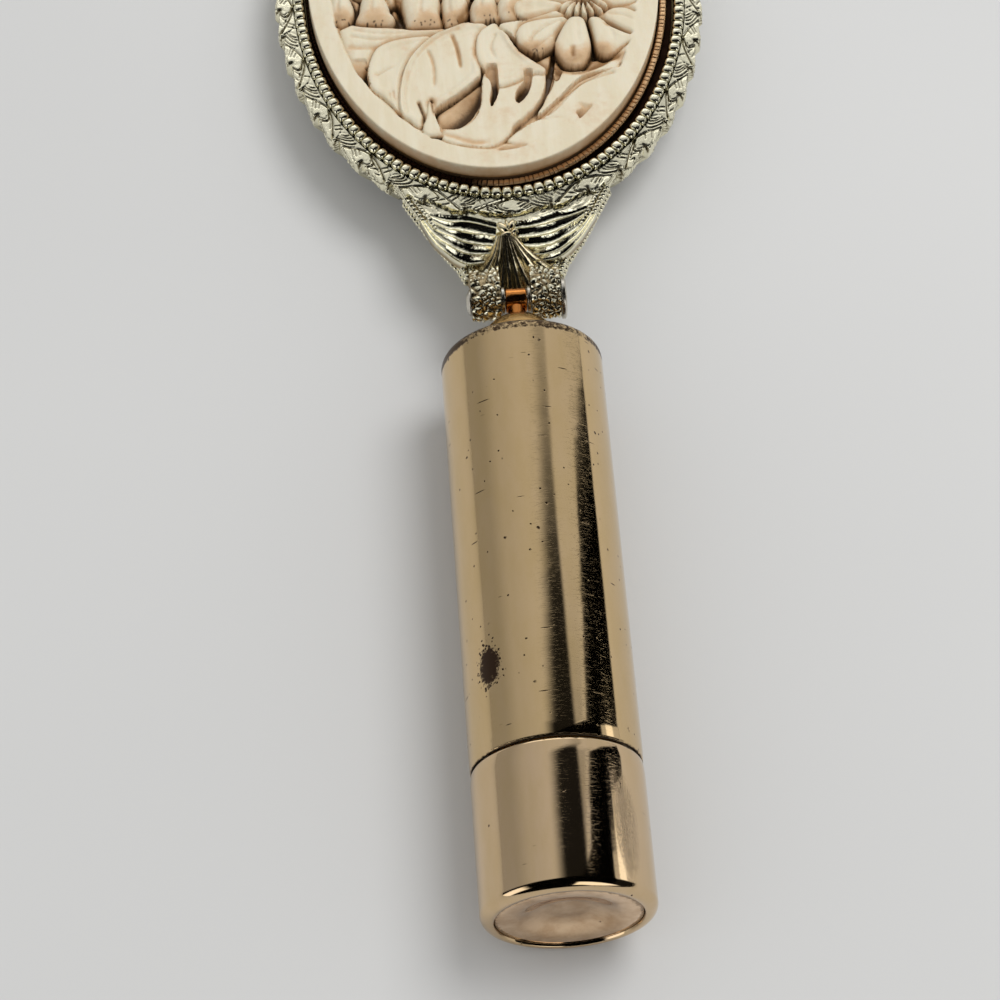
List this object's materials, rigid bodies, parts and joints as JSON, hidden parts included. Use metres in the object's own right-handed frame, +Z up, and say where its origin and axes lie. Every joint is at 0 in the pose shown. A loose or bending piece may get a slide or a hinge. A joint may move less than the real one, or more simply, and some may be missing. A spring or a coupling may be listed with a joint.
{
  "type": "folding hand mirror",
  "caption": "Oval hand mirror with a carved medallion back, folding on a riveted hinge over a round lipstick-case handle.",
  "frame": {"origin": "centre of the bounding box in plan, on the surface that the object lies on", "axes": "+Y runs along the handle from the base's end towards the head, +X is across the head, +Z is up, out of the carved side"},
  "size_m": [0.0524, 0.1584, 0.018],
  "materials": {
    "champagne_plate": "polished champagne-gold plate, worn and scratched",
    "pale_gold_cast": "pale gold plated casting, dark in its recesses",
    "copper_plate": "bright copper with dark grooves",
    "brass_spun": "satin spun brass",
    "steel_rivet": "satin steel",
    "ivory_resin": "satin ivory-toned carving with orange-brown stain in its recesses",
    "backing_card": "matt grey-brown card",
    "mirror_silver": "silvered plate glass",
    "cream_plastic": "moulded cream plastic",
    "lipstick_wax": "smooth satin wax"
  },
  "bodies": {
    "handle": {"cap_shell": "champagne_plate", "cap_liner": "cream_plastic", "dome_ferrule": "brass_spun", "knuckle": "copper_plate", "back_washer": "steel_rivet"},
    "head": {"head_frame": "pale_gold_cast", "hinge_pin": "steel_rivet", "hinge_washer_right": "steel_rivet", "hinge_washer_left": "steel_rivet", "beaded_bezel": "pale_gold_cast", "serrated_collar": "copper_plate", "medallion": "ivory_resin", "medallion_pad": "backing_card", "mirror_pad": "backing_card", "mirror_glass": "mirror_silver", "mirror_bezel": "brass_spun"},
    "case": {"case_sleeve": "brass_spun", "spiral_tube": "cream_plastic"},
    "base": {"base_shell": "champagne_plate", "end_disc": "champagne_plate", "base_plug": "cream_plastic", "slotted_tube": "brass_spun"},
    "carrier": {"carrier_cup": "brass_spun", "lipstick": "lipstick_wax"}
  },
  "joints": [
    {"name": "mirror_fold", "type": "hinge", "parent": "handle", "child": "head", "pos_m": [0, -0.00479, 0.009], "axis": [1, 0, 0], "range_deg": [-100, 110]},
    {"name": "case_pull", "type": "slide", "parent": "handle", "child": "case", "axis": [0, -1, 0], "range_m": [0, 0.04]},
    {"name": "base_twist", "type": "hinge", "parent": "case", "child": "base", "pos_m": [0, -0.06309, 0.009], "axis": [0, 1, 0], "range_deg": [0, 450]},
    {"name": "bullet_rise", "type": "slide", "parent": "base", "child": "carrier", "axis": [0, 1, 0], "range_m": [0, 0.01501]}
  ],
  "couplings": [
    {"joint": "bullet_rise", "follows": "base_twist", "m_per_rad": 0.0019099}
  ]
}
